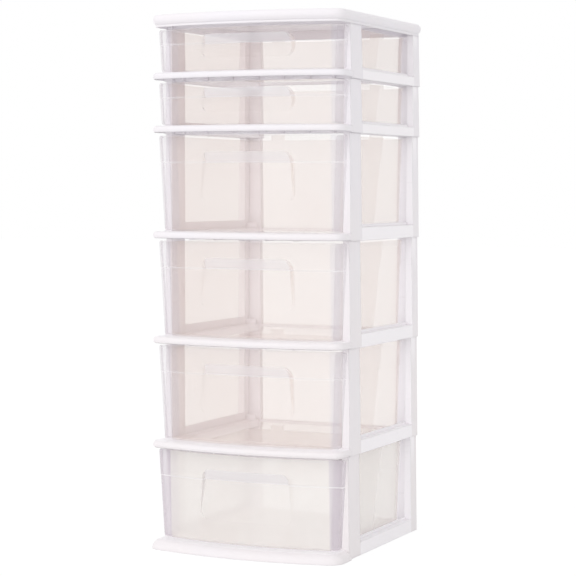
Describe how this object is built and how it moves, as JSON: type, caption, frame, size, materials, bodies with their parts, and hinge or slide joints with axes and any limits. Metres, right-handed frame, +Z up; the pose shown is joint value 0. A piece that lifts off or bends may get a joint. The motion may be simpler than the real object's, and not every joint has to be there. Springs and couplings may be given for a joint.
{
  "type": "drawer tower",
  "caption": "Free-standing plastic tower with see-through sliding drawers, shallow ones above deep ones, stacked open frames with bowed front lips and a flat top.",
  "frame": {"origin": "middle of the tower's footprint, on the floor", "axes": "+Z up, +Y from the drawer fronts to the back, +X to the right as seen from the front"},
  "size_m": [0.328, 0.3655, 0.838],
  "materials": {
    "white_plastic": "satin white moulded plastic",
    "clear_plastic": "see-through moulded plastic, faintly warm"
  },
  "bodies": {
    "tower": {"top_cover": "white_plastic", "shallow_frame_1": "white_plastic", "shallow_frame_2": "white_plastic", "deep_frame_3": "white_plastic", "deep_frame_4": "white_plastic", "deep_frame_5": "white_plastic", "base_frame_6": "white_plastic"},
    "drawer_1": {"shallow_drawer_1": "clear_plastic"},
    "drawer_2": {"shallow_drawer_2": "clear_plastic"},
    "drawer_3": {"deep_drawer_3": "clear_plastic"},
    "drawer_4": {"deep_drawer_4": "clear_plastic"},
    "drawer_5": {"deep_drawer_5": "clear_plastic"},
    "drawer_6": {"base_drawer_6": "clear_plastic"}
  },
  "joints": [
    {"name": "drawer_1_slide", "type": "slide", "parent": "tower", "child": "drawer_1", "axis": [0, -1, 0], "range_m": [0, 0.262]},
    {"name": "drawer_2_slide", "type": "slide", "parent": "tower", "child": "drawer_2", "axis": [0, -1, 0], "range_m": [0, 0.262]},
    {"name": "drawer_3_slide", "type": "slide", "parent": "tower", "child": "drawer_3", "axis": [0, -1, 0], "range_m": [0, 0.262]},
    {"name": "drawer_4_slide", "type": "slide", "parent": "tower", "child": "drawer_4", "axis": [0, -1, 0], "range_m": [0, 0.262]},
    {"name": "drawer_5_slide", "type": "slide", "parent": "tower", "child": "drawer_5", "axis": [0, -1, 0], "range_m": [0, 0.262]},
    {"name": "drawer_6_slide", "type": "slide", "parent": "tower", "child": "drawer_6", "axis": [0, -1, 0], "range_m": [0, 0.262]}
  ]
}
